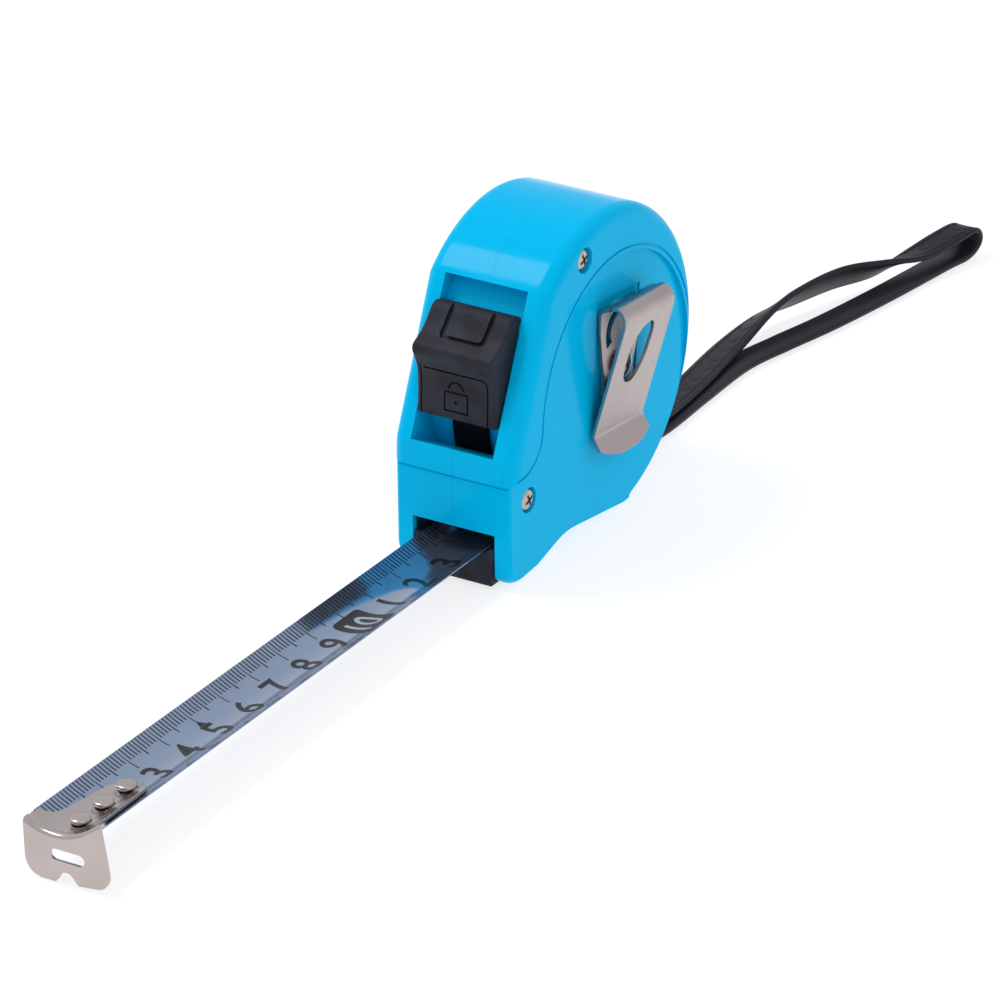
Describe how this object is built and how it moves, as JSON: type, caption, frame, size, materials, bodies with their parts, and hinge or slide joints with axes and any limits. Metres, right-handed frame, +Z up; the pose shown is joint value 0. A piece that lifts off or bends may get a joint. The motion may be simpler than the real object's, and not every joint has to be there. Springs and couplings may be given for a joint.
{
  "type": "tape measure",
  "caption": "Pocket tape measure with a sprung steel blade drawn part way out, end hook, thumb lock, belt clip and looped wrist strap.",
  "frame": {"origin": "on the ground under the middle of the tape and its drawn blade, without the strap", "axes": "+Y along the blade from the hook to the case, +Z up, +X towards the belt clip's side"},
  "size_m": [0.0346, 0.3235, 0.0668],
  "materials": {
    "blue_plastic": "glossy",
    "black_plastic": "satin",
    "black_strap": "satin",
    "bright_steel": "nickel plated",
    "brushed_steel": "satin",
    "blade_steel": "clear coated",
    "drum_plastic": "matte"
  },
  "bodies": {
    "case": {"case_left": "blue_plastic", "case_right": "blue_plastic", "mouth_guard": "black_plastic", "spring_post": "drum_plastic", "belt_clip_base": "brushed_steel", "hub_screw": "bright_steel", "case_screw_upper": "bright_steel", "case_screw_lower": "bright_steel", "strap_pin": "bright_steel", "wrist_strap": "black_strap", "blade_extended": "blade_steel", "blade_feed": "blade_steel"},
    "drum": {"drum": "drum_plastic", "drum_cover": "drum_plastic", "blade_coil": "blade_steel", "mainspring": "brushed_steel"},
    "blade_end": {"hook_rivet_1": "bright_steel", "hook_rivet_2": "bright_steel", "hook_rivet_3": "bright_steel"},
    "hook": {"end_hook": "bright_steel"},
    "lock": {"lock_button": "black_plastic", "lock_slider": "black_plastic", "brake_pad": "black_strap"},
    "clip_leaf": {"belt_clip_leaf": "brushed_steel"}
  },
  "joints": [
    {"name": "drum_spin", "type": "hinge", "parent": "case", "child": "drum", "pos_m": [-0.0033, 0.07395, 0.03325], "axis": [1, 0, 0], "range_deg": [0, 329]},
    {"name": "blade_slide", "type": "slide", "parent": "case", "child": "blade_end", "axis": [0, 0.9999, -0.0144], "range_m": [0, 0.134], "deforming": ["blade_extended", "mainspring", "blade_feed"]},
    {"name": "hook_play", "type": "slide", "parent": "blade_end", "child": "hook", "axis": [0, -0.9999, 0.0144], "range_m": [0, 0.0009]},
    {"name": "lock_slide", "type": "hinge", "parent": "case", "child": "lock", "pos_m": [-0.0033, 0.07395, 0.03325], "axis": [1, 0, 0], "range_deg": [0, 8]},
    {"name": "clip_flex", "type": "hinge", "parent": "case", "child": "clip_leaf", "pos_m": [0.0135, 0.07539, 0.04738], "axis": [0, -0.9948, 0.1015], "range_deg": [0, 8], "stiffness_Nm_per_rad": 0.05}
  ],
  "couplings": [
    {"joint": "blade_slide", "follows": "drum_spin", "m_per_rad": 0.0233}
  ]
}
